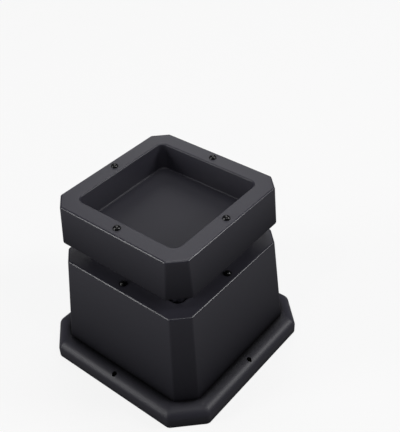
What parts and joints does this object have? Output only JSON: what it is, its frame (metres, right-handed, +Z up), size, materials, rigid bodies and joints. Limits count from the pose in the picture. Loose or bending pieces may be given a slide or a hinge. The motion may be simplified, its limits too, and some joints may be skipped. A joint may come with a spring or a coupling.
{
  "type": "bed riser",
  "caption": "Stackable black plastic bed riser: flanged tapered base and a top unit with a square leg recess, stood in the base by its foot",
  "frame": {"origin": "centre of the base's underside, on the floor", "axes": "+Z up, +X and +Y square to the side walls"},
  "size_m": [0.1622, 0.1622, 0.1504],
  "materials": {
    "black_plastic": "satin black moulded polypropylene"
  },
  "bodies": {
    "root": {"base_riser": "black_plastic", "top_riser": "black_plastic"}
  },
  "joints": []
}
